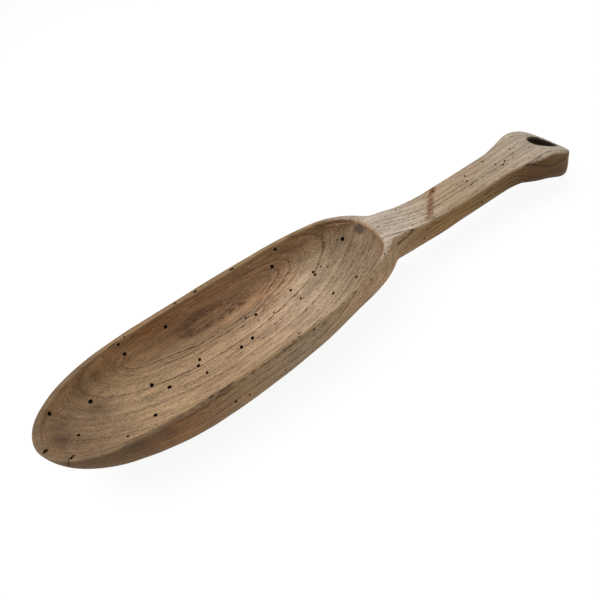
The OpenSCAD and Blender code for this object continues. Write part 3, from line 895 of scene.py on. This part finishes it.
    # the marks go on one after the other, and the dark grain over them all; 6 and 7 are a Mix node's two colours
    for share, blend, paint in (
            (red, "MULTIPLY", h.heartwood), (patchy["worn"], "MIX", linear(h.wornColour)),
            (patchy["smudge"], "MIX", linear(h.smudgeColour)), (stain, "MULTIPLY", h.stained),
            (knot, "MIX", linear(h.knotColour)), (marked["rust"], "MIX", linear(h.rustColour)),
            (dark, "MULTIPLY", linear(h.poreStain))):
        colour = addNode(t, "ShaderNodeMix", {"data_type": "RGBA", "blend_type": blend},
                         {0: share, 6: colour, 7: paint})[2]
    high = 1.0
    for name, much in h.relief.items():
        high = addNode(t, number, timesPlus, {0: pattern[name], 1: much, 2: high})[0]
    bump = addNode(t, "ShaderNodeBump", {}, {"Strength": h.reliefStrength, "Distance": h.reliefHeight * mm,
                                             "Height": high})[0]
    rough = addNode(t, number, timesPlus, {0: mottle, 1: h.roughVary, 2: h.roughness - h.roughVary / 2})[0]
    skin = addNode(t, "ShaderNodeBsdfPrincipled", {}, {"Base Color": colour, "Roughness": rough, "IOR": h.ior,
                                                       "Specular IOR Level": h.specular, "Normal": bump})[0]
    addNode(t, "ShaderNodeOutputMaterial", {}, {"Surface": skin})


tunnelShadeLook = {  # speck size in mm
    "shadeSpeckle": ("#1c120c", "#3a281b"), "speck": 2 / 3, "roughness": 0.9, "specular": 0.2,
}


def makeTunnelShade():
    # the raw wood inside a woodworm's tunnel, cut across its fibres, and in the nicks and cracks, painted nearly black
    # brown: painted shade in these narrow holes
    tunnelShadeWood.use_nodes = True
    t = tunnelShadeWood.node_tree
    t.nodes.clear()
    where = addNode(t, "ShaderNodeTexCoord", {}, {})["Object"]
    shadeSpeckle = addNode(t, "ShaderNodeTexNoise", {}, {"Vector": where, "Scale": 1 / (tunnelShadeLook["speck"] * mm),
                                                 "Detail": 2.0})[0]
    colour = addNode(t, "ShaderNodeMix", {"data_type": "RGBA"},
                     {0: shadeSpeckle, 6: linear(tunnelShadeLook["shadeSpeckle"][0]), 7: linear(tunnelShadeLook["shadeSpeckle"][1])})[2]
    skin = addNode(t, "ShaderNodeBsdfPrincipled", {}, {"Base Color": colour, "Roughness": tunnelShadeLook["roughness"],
                                                       "Specular IOR Level": tunnelShadeLook["specular"]})[0]
    addNode(t, "ShaderNodeOutputMaterial", {}, {"Surface": skin})


sharpAngle = 40  # degrees: flatter edges are shaded smooth
makeOpenWood()
makeTunnelShade()
for face in scoop.data.polygons:
    face.use_smooth = True
scoop.data.set_sharp_from_angle(angle=math.radians(sharpAngle))
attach(scoop, "root")
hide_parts("bowl", "handle")
print("woods made and put on")

studio = {  # metres and watts: white paper under two soft round lamps, one on the far side of the tip, one above
    "floor": 3.0, "floorSquares": 24, "floorLow": 0.0002,
    "floorColour": "#e9e9e9",  # the paper's own colour, which lights the scoop from below
    "floorWhite": 0.91, "shadowShows": "#747474",  # what the camera sees: a white glow and a share of the shadow
    "world": 0.30, "worldSeen": 1.0,
    "key": {"place": (-0.46, 0.46, 1.126), "wide": 0.9, "watts": 5.0},
    "top": {"place": (0.0, 0.0, 1.3), "wide": 0.9, "watts": 3.3},
}


def lookedAt(t):  # 1 for what the camera, a gloss or glass looks at, 0 for light on its way elsewhere
    path = addNode(t, "ShaderNodeLightPath", {}, {})
    looked = path["Is Camera Ray"]
    for kind in ("Is Glossy Ray", "Is Transmission Ray"):
        looked = addNode(t, "ShaderNodeMath", {"operation": "MAXIMUM"}, {0: looked, 1: path[kind]})[0]
    return looked


def makeFloor():
    # matt white paper: shows as white to the camera, but keeps a share of the object's soft shadow
    half, n = studio["floor"], studio["floorSquares"]
    steps = [-half + 2 * half * i / n for i in range(n + 1)]
    quads = [(j * (n + 1) + i, j * (n + 1) + i + 1, (j + 1) * (n + 1) + i + 1, (j + 1) * (n + 1) + i)
             for j in range(n) for i in range(n)]
    floor = meshOf("floor", [(x, y, -studio["floorLow"]) for y in steps for x in steps], quads)
    paper = bpy.data.materials.new("matt_white_paper_sweep")
    paper.use_nodes = True
    t = paper.node_tree
    t.nodes.clear()
    matt = addNode(t, "ShaderNodeBsdfDiffuse", {}, {"Color": linear(studio["floorColour"])})[0]
    faint = addNode(t, "ShaderNodeBsdfDiffuse", {}, {"Color": linear(studio["shadowShows"])})[0]
    white = addNode(t, "ShaderNodeEmission", {}, {"Strength": studio["floorWhite"]})[0]
    white = addNode(t, "ShaderNodeAddShader", {}, {0: white, 1: faint})[0]
    both = addNode(t, "ShaderNodeMixShader", {}, {0: lookedAt(t), 1: matt, 2: white})[0]
    addNode(t, "ShaderNodeOutputMaterial", {}, {"Surface": both})
    floor.data.materials.append(paper)


def makeLight():
    world = bpy.data.worlds.new("studio")
    bpy.context.scene.world = world
    world.use_nodes = True
    t = world.node_tree
    t.nodes.clear()
    room, white = (addNode(t, "ShaderNodeBackground", {}, {"Color": (1, 1, 1, 1), "Strength": studio[name]})[0]
                   for name in ("world", "worldSeen"))
    both = addNode(t, "ShaderNodeMixShader", {}, {0: lookedAt(t), 1: room, 2: white})[0]
    addNode(t, "ShaderNodeOutputWorld", {}, {"Surface": both})
    for name in ("key", "top"):
        lamp = bpy.data.lights.new(name, "AREA")
        lamp.shape, lamp.size, lamp.energy = "DISK", studio[name]["wide"], studio[name]["watts"]
        holder = bpy.data.objects.new(name, lamp)
        holder.location = studio[name]["place"]
        holder.rotation_euler = (-holder.location).to_track_quat("-Z", "Y").to_euler()
        bpy.context.scene.collection.objects.link(holder)
    bpy.context.scene.view_settings.view_transform = "Standard"


makeFloor()
makeLight()
print("floor, lamps and world made")


def pointsReport():  # projects the skin's points into the image and casts rays to the holes and marks near their image points, but prints and keeps nothing
    mesh, eyePlace = scoop.data, eye.matrix_world.translation
    place = pointsOf(mesh)
    world = inMetres(place)
    spots = np.array([shown(p) for p in world])
    closed = skinTree()
    dark = np.array(sorted({v for face in mesh.polygons if face.material_index == 1 for v in face.vertices}))
    for name in tunnels["points"]:
        x, y = imagePoints[name]
        for v in dark[np.hypot(spots[dark, 0] - x, spots[dark, 1] - y) < 4.5]:  # this hole's, not its neighbour's
            way = Vector(world[v]) - eyePlace
            hit, _, _, far = closed.ray_cast(eyePlace, way.normalized())
    for name, at in (("tipNick", gashes[0][0][1]), ("stain", marks["stain"][2]), ("patch", marks["knot"])):
        shown(closed.find_nearest(Vector(inMetres([at])[0]))[0])


pointsReport()
